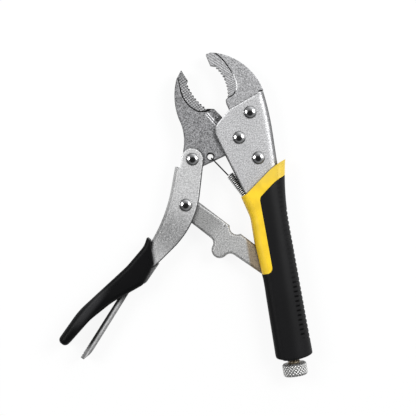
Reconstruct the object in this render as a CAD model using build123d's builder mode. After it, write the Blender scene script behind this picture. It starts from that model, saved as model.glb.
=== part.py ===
from build123d import *
from math import asin, cos, degrees, dist, hypot, pi, radians, sin, sqrt
import os

# Locking pliers with curved jaws, lying flat with the jaws open. Sizes in millimetres.
# +Y runs along the adjusting screw towards the jaws, +X towards the spine of the fixed
# handle and +Z up through the thickness. Z is zero on the surface that the grips lie on,
# and the origin is under the adjusting screw's line.

os.makedirs("parts", exist_ok=True)

# Layers across the thickness
jaw_thickness = 10.0
side_clearance = 0.3
link_side_clearance = 0.6
lever_side_clearance = 0.6
frame_sheet = 2.5
handle_sheet = 2.0
core_wall = 1.4
cover_thickness = 1.3
channel_width = jaw_thickness + 2 * side_clearance
link_thickness = channel_width - 2 * link_side_clearance
lever_width = channel_width - 2 * lever_side_clearance
frame_width = channel_width + 2 * frame_sheet
handle_width = channel_width + 2 * handle_sheet
grip_wall = core_wall + cover_thickness
grip_thickness = frame_width + 2 * grip_wall
mid_z = grip_thickness / 2
mid = Plane.XY.offset(mid_z)

# Pivots and rivets
jaw_pivot = Vector(-14.2, 104.7)
handle_pivot = Vector(-51.3, 94.3)
link_pivot = Vector(-61.8, 61.1)
lever_pivot = Vector(-102.0, 17.2)
upper_rivet = Vector(-3.1, 122.2)
lower_rivet = Vector(-2.4, 87.4)
rivet_radius = 3.0
rivet_head_overhang = 1.75
rivet_rim_height = 0.5
rivet_dome_height = 1.7
lever_pin_radius = 2.0
rivet_clearance = 0.03
running_clearance = 0.06
rivet_head_radius = rivet_radius + rivet_head_overhang

# Fixed handle: folded frame with a tapped collar at its end
fold_inner_radius = 2.0
spine_top = Vector(9.3, 136.8)
spine_bow_x = 11.5
spine_rear_x = 10.0
ear_brow = Vector(-18.2, 126.6)
ear_corner = Vector(-32.8, 114.2)
ear_brow_radius = 12.0
ear_radius = 10.0
channel_front_x = -10.0
channel_front_y = 42.5
channel_front_radius = 30.0
channel_end_y = -40.0
taper_y = -34.0
taper_end_y = -46.0
collar_end_y = -66.6
thread_radius = 5.0
spring_tab_radius = 1.5
spring_tab_reach = 2.5
fold_radius = fold_inner_radius + frame_sheet
collar_radius = frame_width / 2

# Jaws
tooth_depth = 1.1
band_depth = 0.75
band_wall_slope = 45.0
jaw_eye_radius = 9.5
eye_clearance = 0.4
recess_end_angle = -60.0

fixed_tip = Vector(-28.8, 170.7)
fixed_brow = Vector(-25.1, 171.5)
fixed_back = Vector(-0.9, 157.3)
fixed_shoulder = Vector(9.5, 137.3)
fixed_nose = Vector(-26.7, 162.3)
fixed_mouth = Vector(-44.9, 142.6)
fixed_mouth_radius = 27.9
fixed_teeth_from = 42.6
fixed_teeth_to = -10.4
fixed_teeth = 10
fixed_cutter_angle = 99.3
fixed_cutter_root = 22.5
fixed_cutter_heel = Vector(-19.3, 132.1)
fixed_cutter_lip = Vector(-19.4, 134.5)
fixed_mouth_root = Vector(-17.2, 136.4)
fixed_band_tip = Vector(-20.0, 169.4)
fixed_band_back = Vector(-12.7, 157.6)
fixed_band_heel = Vector(-9.4, 146.0)
fixed_band_root = Vector(-18.2, 135.6)
shank_end_run = 7.4
shank_setback = 0.7

moving_tip = Vector(-49.1, 161.8)
moving_nose = Vector(-45.5, 153.4)
moving_crown = Vector(-53.5, 155.8)
moving_back = Vector(-57.7, 137.1)
moving_waist = Vector(-56.8, 126.6)
moving_hollow = Vector(-54.9, 115.6)
tail_shoulder = Vector(-57.0, 102.2)
moving_mouth = Vector(-7.1, 159.3)
moving_mouth_radius = 39.9
moving_teeth_from = 190.3
moving_teeth_to = 227.1
moving_teeth = 9
moving_cutter_angle = 120.1
moving_cutter_root = 20.6
moving_cutter_heel = Vector(-29.3, 129.1)
moving_cutter_lip = Vector(-31.2, 129.5)
cutter_relief_width = 6.5
cutter_relief_depth = 0.4
cutter_relief_run = 12.0
moving_band_tip = Vector(-53.4, 158.0)
moving_band_back = Vector(-52.4, 146.0)
moving_band_heel = Vector(-43.2, 129.7)
moving_band_root = Vector(-33.9, 128.8)
tail_corner = Vector(-61.0, 83.2)
tail_radius = 7.6
tail_eye_angle = -112.0
spring_hole = Vector(-37.7, 94.1)
spring_hole_radius = 2.25
spring_hole_chamfer = 0.8

# Moving handle: folded channel
handle_fold_inner_radius = 2.0
handle_ear_radius = 8.4
handle_ear_edge = Vector(-50.1, 67.5)
handle_elbow = Vector(-75.2, 31.2)
handle_front = Vector(-88.4, 21.8)
handle_notch = Vector(-61.6, 89.6)
web_top = Vector(-65.0, 91.2)
web_knee = Vector(-70.5, 75.5)
web_bend_end = Vector(-114.85, 17.29)
web_end_run = 48.0
handle_end_depth = 5.0
void_overrun = 30.0
handle_fold_radius = handle_fold_inner_radius + handle_sheet

# Toggle link, measured along and across its own centre line from its pivot
link_angle = -45.8
link_half_width = 7.85
link_end_run = 85.0
link_end_radius = 7.0
link_bevel = 1.3
link_lower_swell = 0.9
lobe_run = 40.7
lobe_drop = 11.9
lobe_radius = 6.1
lobe_blend = 5.0
scallop_run = 41.0
scallop_rise = 10.0
scallop_radius = 5.8

# Release lever: folded channel
lever_sheet = 1.6
lever_nose = Vector(-88.8, 20.6)
lever_heel = Vector(-100.4, 8.3)
lever_elbow = Vector(-113.5, 4.0)
lever_toe = Vector(-149.9, -37.7)
lever_tail = Vector(-156.1, -41.2)
lever_saddle = Vector(-113.5, 11.0)
lever_hump = Vector(-106.0, 19.8)
lever_nose_depth = 2.2
lever_tail_depth = 2.7
lever_heel_radius = 4.0
lever_bend_radius = 12.0
lever_saddle_radius = 10.0
lever_hump_radius = 5.0

# Adjusting screw
screw_tip_y = -9.4
screw_tip_chamfer = 1.5
knob_radius = 9.3
knob_top_y = -69.4
knob_length = 9.6
knob_chamfer = 1.2
screw_radius = thread_radius - running_clearance

# Fixed grip: hard core and soft cover
grip_round = 6.0
grip_back_wall = 2.8
grip_heel_flare = 2.0
grip_crown_flare = 4.8
grip_front_wall = 2.8
grip_belly_swell = 2.2
grip_lip_swell = 6.7
grip_waist_y = 34.0
grip_crown_y = 83.4
grip_lip_y = 60.6
grip_toe_y = -6.0
grip_belly_y = 22.0
grip_throat_y = 44.0
grip_belly_radius = 60.0
grip_throat_radius = 25.0
grip_top_back = Vector(9.2, 79.7)
grip_top_front = Vector(0.3, 73.8)
grip_brow = Vector(-15.6, 62.0)
grip_corner_y = -63.6
grip_end_y = -66.2
grip_end_round = 1.0
cover_edge_back = Vector(30.0, 78.0)
cover_edge_crown = Vector(7.3, 68.2)
cover_edge_shoulder = Vector(-6.4, 57.6)
cover_edge_waist = Vector(-5.2, 0.5)
cover_edge_radii = [30.0, 5.0, 4.5]
slot_end_y = -14.0
rib_pitch = 3.57
rib_first_y = -51.4
rib_grooves = 28
rib_groove_width = 1.2
rib_groove_depth = 0.7
rib_floor_chamfer = 3.1
rib_reach_x = 8.8
grip_back_x = spine_rear_x + grip_back_wall
grip_heel_x = grip_back_x + grip_heel_flare
grip_crown_x = grip_back_x + grip_crown_flare
grip_toe_x = channel_front_x - grip_front_wall
grip_belly_x = grip_toe_x - grip_belly_swell
grip_lip_x = grip_toe_x - grip_lip_swell

# Moving grip, from its flared lip to its end along the back and back again along the front
moving_grip_round = 3.4
moving_grip_line = [
    Vector(-94.3, 42.0),
    Vector(-97.5, 35.8),
    Vector(-112.5, 22.9),
    Vector(-153.7, -4.4),
    Vector(-172.8, -23.9),
    Vector(-167.4, -29.7),
    Vector(-147.0, -13.0),
    Vector(-127.9, -2.2),
    Vector(-102.5, 7.2),
    Vector(-92.3, 21.0),
]
moving_grip_radii = [15.0, 60.0, 60.0, 3.6, 3.6, 60.0, 60.0, 8.0]
moving_grip_lip = Vector(-92.2, 39.4)
moving_slot_mouth = Vector(-80.0, 30.0)
moving_slot_top = Vector(-100.0, 24.0)
moving_slot_end = Vector(-150.0, -8.0)
moving_slot_floor_y = -60.0

# Return spring
wire_radius = 0.45
wire_sides = 6
coil_radius = 1.9
coil_pitch = 1.42
coil_turns = 16
coil_top = Vector(-25.2, 78.3)
coil_direction = Vector(0.474, -0.880).normalized()
coil_tail_run = 19.0
hook_clearance = 0.3
hook_bend = 1.3
hook_drop = 3.0
hook_end = 2.0
gap_step = 0.25
gap_skip = 3.0
coil_across = Vector(-coil_direction.Y, coil_direction.X)
tab_hook_radius = spring_tab_radius + wire_radius + hook_clearance
tail_offset = coil_across * hook_bend
tab_line = coil_top + coil_direction * (coil_pitch * coil_turns + coil_tail_run)
spring_tab = tab_line + tail_offset - coil_across * tab_hook_radius

# How near an edge's middle lies to the outline line that it follows
outline_tolerance = 0.01


def polar(centre, radius, angle):
    """Point at an angle in degrees round a centre."""
    return centre + Vector(radius * cos(radians(angle)), radius * sin(radians(angle)))


def toothed_edge(centre, radius, first, last, count):
    """Tips and roots of a row of teeth round the centre of a jaw's mouth."""
    step = (last - first) / count
    points = []
    for tooth in range(count):
        points.append(polar(centre, radius, first + step * tooth))
        points.append(polar(centre, radius + tooth_depth, first + step * (tooth + 0.5)))
    points.append(polar(centre, radius, last))
    return points


def edges_over(body, lines):
    """Edges on both flat sides of a body that follow the given lines of its outline."""
    layers = body.edges().group_by(Axis.Z)
    marks = [line @ 0.5 for line in lines]
    found = []
    for edge in layers[0] + layers[-1]:
        middle = edge @ 0.5
        if min(hypot(mark.X - middle.X, mark.Y - middle.Y) for mark in marks) < outline_tolerance:
            found.append(edge)
    return found


def rivet(name, place, width, radius):
    """Rivet across a width, with a domed head on both sides."""
    with BuildPart() as piece:
        with BuildSketch(Plane(origin=(place.X, place.Y, mid_z), x_dir=(1, 0, 0), z_dir=(0, -1, 0))):
            with BuildLine():
                seat = width / 2
                rim = seat + rivet_rim_height
                crown = rim + rivet_dome_height
                Line((0, -crown), (0, crown))
                TangentArc((0, crown), (rivet_head_radius, rim), tangent=(1, 0))
                Polyline((rivet_head_radius, rim), (rivet_head_radius, seat), (radius, seat))
                Line((radius, seat), (radius, -seat))
                Polyline((radius, -seat), (rivet_head_radius, -seat), (rivet_head_radius, -rim))
                TangentArc((0, -crown), (rivet_head_radius, -rim), tangent=(1, 0))
            make_face()
        revolve(axis=Axis((place.X, place.Y, mid_z), (0, 0, 1)))
    piece.part.label = name
    export_step(piece.part, f"parts/{name}.step")


# Fixed handle


def spine(inset, start_y):
    """Back of the folded frame, moved in by an inset, from start_y up to the fixed jaw."""
    back = Line((spine_rear_x - inset, start_y), (spine_bow_x - inset, jaw_pivot.Y))
    bow = TangentArc(back @ 1, (spine_top.X - inset, spine_top.Y), tangent=back % 1)
    return [back, bow]


with BuildPart() as frame_blank:
    with BuildSketch(mid):
        with BuildLine():
            fold = spine(0, taper_y)
            FilletPolyline(
                spine_top,
                ear_brow,
                ear_corner,
                (channel_front_x, channel_front_y),
                (channel_front_x, taper_y),
                (-collar_radius, taper_end_y),
                (collar_radius, taper_end_y),
                (spine_rear_x, taper_y),
                radius=[ear_brow_radius, ear_radius, channel_front_radius, 0, 0, 0],
            )
        make_face()
    extrude(amount=frame_width / 2, both=True)
    fillet(edges_over(frame_blank, fold), fold_radius)
    with BuildSketch(Plane.XZ.offset(-channel_end_y)):
        with Locations((0, mid_z)):
            Circle(collar_radius)
    extrude(amount=channel_end_y - collar_end_y)

with BuildPart() as channel_void:
    with BuildSketch(mid):
        with BuildLine():
            fold = spine(frame_sheet, channel_end_y)
            Polyline(
                (spine_top.X - frame_sheet, spine_top.Y),
                (ear_corner.X, spine_top.Y),
                (ear_corner.X, channel_end_y),
                (spine_rear_x - frame_sheet, channel_end_y),
            )
        make_face()
    extrude(amount=channel_width / 2, both=True)
    fillet(edges_over(channel_void, fold), fold_inner_radius)

with BuildPart() as fixed_handle:
    add(frame_blank.part)
    add(channel_void.part, mode=Mode.SUBTRACT)
    with BuildSketch(Plane.XZ.offset(-channel_end_y)):
        with Locations((0, mid_z)):
            Circle(thread_radius)
    extrude(amount=channel_end_y - collar_end_y, mode=Mode.SUBTRACT)
    with Locations(jaw_pivot, upper_rivet, lower_rivet):
        Hole(rivet_radius + rivet_clearance)
    with BuildSketch(mid.offset(-spring_tab_reach)):
        with Locations(spring_tab):
            Circle(spring_tab_radius)
    extrude(amount=spring_tab_reach + (channel_width + frame_sheet) / 2)

fixed_handle.part.label = "fixed_handle"
export_step(fixed_handle.part, "parts/fixed_handle.step")

# Fixed jaw

fold_depth = sqrt(2 * fold_inner_radius * side_clearance - side_clearance**2)
shank_inset = frame_sheet + fold_inner_radius - fold_depth + side_clearance
shank_front_x = channel_front_x + shank_setback
shank_end_y = lower_rivet.Y - shank_end_run
recess_radius = jaw_eye_radius + eye_clearance
recess_low = polar(jaw_pivot, recess_radius, recess_end_angle)
recess_high = polar(jaw_pivot, recess_radius, fixed_cutter_angle)
cutter_foot = polar(jaw_pivot, fixed_cutter_root, fixed_cutter_angle)
fixed_row = toothed_edge(fixed_mouth, fixed_mouth_radius, fixed_teeth_to, fixed_teeth_from, fixed_teeth)

with BuildPart() as fixed_jaw:
    with BuildSketch(mid):
        with BuildLine():
            Line(fixed_tip, fixed_brow)
            ThreePointArc(fixed_brow, fixed_back, fixed_shoulder)
            Polyline(
                fixed_shoulder,
                (spine_top.X - shank_inset, fixed_shoulder.Y),
                (spine_bow_x - shank_inset, jaw_pivot.Y),
                (spine_bow_x - shank_inset, shank_end_y),
                (shank_front_x, shank_end_y),
                (shank_front_x, recess_low.Y),
                recess_low,
            )
            ThreePointArc(recess_low, polar(jaw_pivot, recess_radius, 0), recess_high)
            Polyline(
                recess_high,
                cutter_foot,
                fixed_cutter_heel,
                fixed_cutter_lip,
                fixed_mouth_root,
                *fixed_row,
                fixed_nose,
                fixed_tip,
            )
        make_face()
    extrude(amount=jaw_thickness / 2, both=True)
    with BuildSketch(mid.offset(jaw_thickness / 2)):
        with BuildLine():
            edge = ThreePointArc(fixed_band_tip, fixed_band_back, fixed_band_heel)
            TangentArc(fixed_band_heel, fixed_band_root, tangent=edge % 1)
            Polyline(fixed_band_root, fixed_mouth, fixed_tip * 2 - fixed_nose, fixed_band_tip)
        make_face()
    band = extrude(amount=band_depth, dir=(0, 0, -1), taper=band_wall_slope, mode=Mode.PRIVATE)
    add(band, mode=Mode.SUBTRACT)
    mirror(band, about=mid, mode=Mode.SUBTRACT)
    with Locations(upper_rivet, lower_rivet):
        Hole(rivet_radius + rivet_clearance)

fixed_jaw.part.label = "fixed_jaw"
export_step(fixed_jaw.part, "parts/fixed_jaw.step")

# Moving jaw

moving_cutter_foot = polar(jaw_pivot, moving_cutter_root, moving_cutter_angle)
eye_high = polar(jaw_pivot, jaw_eye_radius, moving_cutter_angle)
eye_low = polar(jaw_pivot, jaw_eye_radius, tail_eye_angle)
cutter_line = (moving_cutter_foot - eye_high).normalized()
relief_plane = Plane(origin=(eye_high.X, eye_high.Y, mid_z), x_dir=cutter_line, z_dir=(0, 0, 1))
moving_row = toothed_edge(moving_mouth, moving_mouth_radius, moving_teeth_to, moving_teeth_from, moving_teeth)

with BuildPart() as moving_jaw:
    with BuildSketch(mid):
        with BuildLine():
            Line(moving_tip, moving_crown)
            ThreePointArc(moving_crown, moving_back, moving_waist)
            ThreePointArc(moving_waist, moving_hollow, tail_shoulder)
            FilletPolyline(tail_shoulder, tail_corner, eye_low, radius=[tail_radius])
            ThreePointArc(eye_low, polar(jaw_pivot, jaw_eye_radius, 0), eye_high)
            Polyline(
                eye_high,
                moving_cutter_foot,
                moving_cutter_heel,
                moving_cutter_lip,
                *moving_row,
                moving_nose,
                moving_tip,
            )
        make_face()
    extrude(amount=jaw_thickness / 2, both=True)
    with BuildSketch(mid.offset(jaw_thickness / 2)):
        with BuildLine():
            run = Line(moving_band_tip, moving_band_back)
            edge = TangentArc(moving_band_back, moving_band_heel, tangent=run % 1)
            TangentArc(moving_band_heel, moving_band_root, tangent=edge % 1)
            Polyline(moving_band_root, moving_mouth, moving_tip * 2 - moving_nose, moving_band_tip)
        make_face()
    band = extrude(amount=band_depth, dir=(0, 0, -1), taper=band_wall_slope, mode=Mode.PRIVATE)
    add(band, mode=Mode.SUBTRACT)
    mirror(band, about=mid, mode=Mode.SUBTRACT)
    for side in (-1, 1):
        with BuildSketch(relief_plane.offset(side * jaw_thickness / 2)):
            Rectangle(cutter_relief_run, cutter_relief_width, align=(Align.MIN, Align.MIN))
        extrude(amount=-side * cutter_relief_depth, mode=Mode.SUBTRACT)
    with Locations(jaw_pivot, handle_pivot):
        Hole(rivet_radius + running_clearance)
    with Locations(spring_hole):
        Hole(spring_hole_radius)
    rims = moving_jaw.edges().filter_by(GeomType.CIRCLE)
    chamfer(rims.filter_by(lambda rim: rim.radius == spring_hole_radius), spring_hole_chamfer)

moving_jaw.part.label = "moving_jaw"
export_step(moving_jaw.part, "parts/moving_jaw.step")

# Moving handle

web_slope = (web_knee - web_top).normalized()
web_chord = (web_bend_end - web_knee).normalized()
web_exit = web_chord * (2 * web_chord.dot(web_slope)) - web_slope
web_inward = Vector(-web_slope.Y, web_slope.X)
exit_inward = Vector(-web_exit.Y, web_exit.X)
ear_reach = handle_pivot - handle_ear_edge
ear_run = sqrt(ear_reach.length**2 - handle_ear_radius**2)
ear_line = ear_reach.rotate(Axis.Z, -degrees(asin(handle_ear_radius / ear_reach.length))).normalized()
ear_right = handle_ear_edge + ear_line * ear_run
ear_left = polar(handle_pivot, handle_ear_radius, 180)


def web_line(inset, extra):
    """Folded back of the moving handle, moved in by an inset and run on at both ends."""
    top = Line(web_top + web_inward * inset - web_slope * extra, web_knee + web_inward * inset)
    bend = TangentArc(top @ 1, web_bend_end + exit_inward * inset, tangent=top % 1)
    run = Line(bend @ 1, bend @ 1 + web_exit * (web_end_run + extra))
    return [top, bend, run]


with BuildPart() as handle_blank:
    with BuildSketch(mid):
        with BuildLine():
            web = web_line(0, 0)
            end_front = web[-1] @ 1 + exit_inward * handle_end_depth
            Polyline(web[-1] @ 1, end_front, handle_front, handle_elbow)
            TangentArc(handle_ear_edge, handle_elbow, tangent=-ear_line)
            Line(handle_ear_edge, ear_right)
            ThreePointArc(ear_right, polar(handle_pivot, handle_ear_radius, 90), ear_left)
            Polyline(ear_left, handle_notch, web_top)
        make_face()
    extrude(amount=handle_width / 2, both=True)
    fillet(edges_over(handle_blank, web), handle_fold_radius)

with BuildPart() as handle_void:
    with BuildSketch(mid):
        with BuildLine():
            web = web_line(handle_sheet, void_overrun)
            far_side = web[-1] @ 1 + exit_inward * (2 * void_overrun)
            Polyline(
                web[-1] @ 1,
                far_side,
                (jaw_pivot.X, far_side.Y),
                (jaw_pivot.X, (web[0] @ 0).Y),
                web[0] @ 0,
            )
        make_face()
    extrude(amount=channel_width / 2, both=True)
    fillet(edges_over(handle_void, web), handle_fold_inner_radius)

with BuildPart() as moving_handle:
    add(handle_blank.part)
    add(handle_void.part, mode=Mode.SUBTRACT)
    with Locations(handle_pivot, link_pivot):
        Hole(rivet_radius + rivet_clearance)
    with Locations(lever_pivot):
        Hole(lever_pin_radius + rivet_clearance)

moving_handle.part.label = "moving_handle"
export_step(moving_handle.part, "parts/moving_handle.step")

# Toggle link

link_axis = Vector(cos(radians(link_angle)), sin(radians(link_angle)))
link_plane = Plane(origin=(link_pivot.X, link_pivot.Y, mid_z), x_dir=link_axis, z_dir=(0, 0, 1))

with BuildPart() as toggle_link:
    with BuildSketch(link_plane) as outline:
        with BuildSketch(mode=Mode.PRIVATE) as lobe:
            with Locations((lobe_run, 0)):
                Circle(link_half_width)
            with Locations((lobe_run, -lobe_drop)):
                Circle(lobe_radius)
            make_hull()
        Circle(link_half_width)
        with Locations((lobe_run, -link_lower_swell)):
            Circle(link_half_width)
        with Locations((link_end_run, 0)):
            Circle(link_end_radius)
        make_hull()
        add(lobe.sketch)
        beside_lobe = outline.vertices().filter_by_position(Axis.X, lobe_run / 2, lobe_run * 3 / 2)
        fillet(beside_lobe.filter_by_position(Axis.Y, -lobe_drop, -lobe_radius), lobe_blend)
        with Locations((scallop_run, scallop_rise)):
            Circle(scallop_radius, mode=Mode.SUBTRACT)
    extrude(amount=link_thickness / 2, both=True)
    sides = toggle_link.edges().group_by(Axis.Z)
    chamfer(sides[0] + sides[-1], link_bevel)
    with Locations(link_pivot):
        Hole(rivet_radius + running_clearance)

toggle_link.part.label = "toggle_link"
export_step(toggle_link.part, "parts/toggle_link.step")

# Release lever

lever_way = (lever_tail - lever_nose).normalized()
lever_inward = Vector(lever_way.Y, -lever_way.X)
lever_back = [lever_nose, lever_heel, lever_elbow, lever_toe, lever_tail]
lever_inner = [point + lever_inward * lever_sheet for point in lever_back[:-1]]
void_start = lever_inner[0] + (lever_inner[1] - lever_inner[0]).normalized() * lever_sheet

with BuildPart() as release_lever:
    with BuildSketch(mid):
        with BuildLine():
            FilletPolyline(*lever_back, radius=[lever_heel_radius, lever_bend_radius, lever_bend_radius])
            FilletPolyline(
                lever_tail,
                lever_tail + lever_inward * lever_tail_depth,
                lever_saddle,
                lever_hump,
                lever_nose + lever_inward * lever_nose_depth,
                lever_nose,
                radius=[0, lever_saddle_radius, lever_hump_radius, 0],
            )
        make_face()
    extrude(amount=lever_width / 2, both=True)
    with BuildSketch(mid):
        with BuildLine():
            FilletPolyline(void_start, *lever_inner[1:], radius=[lever_heel_radius, lever_bend_radius])
            Polyline(
                lever_inner[-1],
                lever_inner[-1] + lever_inward * void_overrun,
                void_start + lever_inward * void_overrun,
                void_start,
            )
        make_face()
    extrude(amount=lever_width / 2 - lever_sheet, both=True, mode=Mode.SUBTRACT)
    with Locations(lever_pivot):
        Hole(lever_pin_radius + running_clearance)

release_lever.part.label = "release_lever"
export_step(release_lever.part, "parts/release_lever.step")

# Adjusting screw with its knurled head

with BuildPart() as adjusting_screw:
    with BuildSketch(Plane(origin=(0, 0, mid_z), x_dir=(1, 0, 0), z_dir=(0, 0, 1))):
        with BuildLine():
            knob_end_y = knob_top_y - knob_length
            Polyline(
                (0, screw_tip_y),
                (screw_radius - screw_tip_chamfer, screw_tip_y),
                (screw_radius, screw_tip_y - screw_tip_chamfer),
                (screw_radius, knob_top_y),
                (knob_radius - knob_chamfer, knob_top_y),
                (knob_radius, knob_top_y - knob_chamfer),
                (knob_radius, knob_end_y + knob_chamfer),
                (knob_radius - knob_chamfer, knob_end_y),
                (0, knob_end_y),
                close=True,
            )
        make_face()
    revolve(axis=Axis((0, 0, mid_z), (0, 1, 0)))

adjusting_screw.part.label = "adjusting_screw"
export_step(adjusting_screw.part, "parts/adjusting_screw.step")

# Fixed grip


def grip_body(inset, soften, reach):
    """Fixed grip as one solid, drawn in by an inset, its long edges rounded or cut by the given reach."""
    with BuildPart() as body:
        with BuildSketch(mid):
            with BuildLine():
                back = Line((grip_back_x - inset, grip_waist_y), (grip_heel_x - inset, grip_corner_y + inset))
                crown = TangentArc(back @ 0, (grip_crown_x - inset, grip_crown_y), tangent=-(back % 0))
                front = FilletPolyline(
                    (grip_toe_x + inset, grip_corner_y + inset),
                    (grip_toe_x + inset, grip_toe_y),
                    (grip_belly_x + inset, grip_belly_y),
                    (grip_belly_x + inset, grip_throat_y),
                    (grip_lip_x + inset, grip_lip_y),
                    radius=[grip_belly_radius, grip_belly_radius, grip_throat_radius],
                )
                ThreePointArc(back @ 1, (0, grip_end_y + inset), front @ 0)
                ThreePointArc(crown @ 1, grip_top_back, grip_top_front)
                Polyline(grip_top_front, grip_brow, front @ 1)
            make_face()
        extrude(amount=grip_thickness / 2 - inset, both=True)
        soften(edges_over(body, [back, crown, *front.edges()]), reach)
        fillet(body.faces().sort_by(Axis.Y)[0].edges(), grip_end_round)
    return body.part


grip_outer = grip_body(0, fillet, grip_round)
grip_inner = grip_body(cover_thickness, fillet, grip_round - cover_thickness)

with BuildPart() as cover_blank:
    with BuildSketch():
        with BuildLine():
            border = FilletPolyline(
                cover_edge_back,
                cover_edge_crown,
                cover_edge_shoulder,
                cover_edge_waist,
                (-cover_edge_back.X, cover_edge_waist.Y),
                radius=cover_edge_radii,
            )
            Polyline(
                border @ 1,
                (-cover_edge_back.X, knob_top_y),
                (cover_edge_back.X, knob_top_y),
                cover_edge_back,
            )
        make_face()
    extrude(amount=grip_thickness)
    add(grip_outer, mode=Mode.INTERSECT)
    add(grip_inner, mode=Mode.SUBTRACT)

with BuildPart() as grip_slot:
    with BuildSketch(mid):
        with Locations((0, slot_end_y)):
            Rectangle(-ear_corner.X, jaw_pivot.Y - slot_end_y, align=(Align.MAX, Align.MIN))
    extrude(amount=channel_width / 2, both=True)

with BuildPart() as grip_grooves:
    with BuildSketch():
        for rib in range(rib_grooves):
            with Locations((rib_reach_x, rib_first_y + rib * rib_pitch)):
                Rectangle(grip_crown_x, rib_groove_width, align=(Align.MIN, Align.CENTER))
    extrude(amount=grip_thickness)
    add(grip_body(rib_groove_depth, chamfer, rib_floor_chamfer), mode=Mode.SUBTRACT)

with BuildPart() as fixed_grip_core:
    add(grip_outer)
    add(cover_blank.part, mode=Mode.SUBTRACT)
    add(frame_blank.part, mode=Mode.SUBTRACT)
    add(grip_slot.part, mode=Mode.SUBTRACT)

fixed_grip_core.part.label = "fixed_grip_core"
export_step(fixed_grip_core.part, "parts/fixed_grip_core.step")

with BuildPart() as fixed_grip_cover:
    add(cover_blank.part)
    add(frame_blank.part, mode=Mode.SUBTRACT)
    add(grip_slot.part, mode=Mode.SUBTRACT)
    add(grip_grooves.part, mode=Mode.SUBTRACT)

fixed_grip_cover.part.label = "fixed_grip_cover"
export_step(fixed_grip_cover.part, "parts/fixed_grip_cover.step")

# Moving grip

with BuildPart() as moving_grip:
    with BuildSketch(mid):
        with BuildLine():
            sleeve = FilletPolyline(*moving_grip_line, radius=moving_grip_radii)
            Polyline(sleeve @ 1, moving_grip_lip, sleeve @ 0)
        make_face()
    extrude(amount=grip_thickness / 2, both=True)
    fillet(edges_over(moving_grip, sleeve.edges()), moving_grip_round)
    add(handle_blank.part, mode=Mode.SUBTRACT)
    with BuildSketch(mid):
        with BuildLine():
            Polyline(
                moving_slot_mouth,
                moving_slot_top,
                moving_slot_end,
                (moving_slot_end.X, moving_slot_floor_y),
                (moving_slot_mouth.X, moving_slot_floor_y),
                close=True,
            )
        make_face()
    extrude(amount=channel_width / 2, both=True, mode=Mode.SUBTRACT)

moving_grip.part.label = "moving_grip"
export_step(moving_grip.part, "parts/moving_grip.step")

# Return spring

leg_z = mid_z + jaw_thickness / 2 + wire_radius + hook_clearance * 2
hook = spring_hole + coil_direction * (spring_hole_radius - wire_radius - hook_clearance)


def at_height(place, z):
    """Point over a place in the plane of the tool."""
    return Vector(place.X, place.Y, z)


def coil_point(turn):
    """Centre of the wire after a number of turns of the coil, and its direction there."""
    angle = 2 * pi * turn
    place = coil_top + coil_direction * (coil_pitch * turn) + coil_across * (coil_radius * sin(angle))
    way = coil_direction * (coil_pitch / (2 * pi)) + coil_across * (coil_radius * cos(angle))
    height = mid_z + coil_radius * cos(angle)
    return at_height(place, height), at_height(way, -coil_radius * sin(angle)).normalized()


def biarc(start, start_way, end, end_way):
    """Two arcs that leave one point along its direction and reach another along its own."""
    chord = end - start
    spread = 2 * (1 - start_way.dot(end_way))
    lean = 2 * chord.dot(start_way + end_way)
    reach = (sqrt(lean**2 + 4 * spread * chord.dot(chord)) - lean) / (2 * spread)
    near = start + start_way * reach
    far = end - end_way * reach
    meet = (near + far) * 0.5
    TangentArc(start, meet, tangent=start_way)
    TangentArc(meet, end, tangent=far - near)


def least_gap(path, spacing, skip):
    """Least clear distance between stretches of a wire that are further apart than skip along it."""
    count = int(path.length / spacing)
    points = [tuple(path @ (step / count)) for step in range(count + 1)]
    apart = int(skip / spacing)
    return min(
        dist(points[one], points[other])
        for one in range(count + 1)
        for other in range(one + apart, count + 1)
    ) - 2 * wire_radius


with BuildPart() as return_spring:
    with BuildLine() as wire:
        first, first_way = coil_point(0)
        last, last_way = coil_point(coil_turns)
        up = Vector(0, 0, 1)
        leg_corner = first - first_way * hook_bend
        leg_way = (leg_corner - at_height(hook, leg_z)).normalized()
        leg_start = at_height(hook, leg_z) + leg_way * hook_bend
        leg_end = leg_corner - leg_way * hook_bend
        hook_top = at_height(hook, leg_z - hook_bend)
        coil_end = coil_top + coil_direction * (coil_pitch * coil_turns)
        tail_start = at_height(coil_end + coil_direction * hook_bend + tail_offset, last.Z)
        tail_end = at_height(tab_line + tail_offset, last.Z)
        tail_turn = at_height(tab_line + tail_offset - coil_across * (2 * tab_hook_radius), last.Z)
        Line(at_height(hook, mid_z - hook_drop), hook_top)
        biarc(hook_top, up, leg_start, leg_way)
        Line(leg_start, leg_end)
        biarc(leg_end, leg_way, first, first_way)
        for half in range(2 * coil_turns):
            biarc(*coil_point(half / 2), *coil_point(half / 2 + 0.5))
        biarc(last, last_way, tail_start, coil_direction)
        Line(tail_start, tail_end)
        TangentArc(tail_end, tail_turn, tangent=coil_direction)
        Line(tail_turn, tail_turn - coil_direction * hook_end)
    path = wire.wire()
    with BuildSketch(Plane(origin=path @ 0, z_dir=path % 0)) as section:
        RegularPolygon(wire_radius, wire_sides)
    sweep(path=path)

return_spring.part.label = "return_spring"
export_step(return_spring.part, "parts/return_spring.step")
wire_volume = section.sketch.area * path.length
print(f"return_spring: least gap to itself {least_gap(path, gap_step, gap_skip):.2f} mm")
print(f"return_spring: volume over section times length {return_spring.part.volume / wire_volume:.4f}")

# Rivets and the release lever's pin

rivet("jaw_rivet_upper", upper_rivet, frame_width, rivet_radius)
rivet("jaw_rivet_lower", lower_rivet, frame_width, rivet_radius)
rivet("jaw_pivot_rivet", jaw_pivot, frame_width, rivet_radius)
rivet("handle_pivot_rivet", handle_pivot, handle_width, rivet_radius)
rivet("link_pivot_rivet", link_pivot, handle_width, rivet_radius)

with BuildPart() as release_lever_pin:
    with BuildSketch(mid):
        with Locations(lever_pivot):
            Circle(lever_pin_radius)
    extrude(amount=handle_width / 2, both=True)

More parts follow.
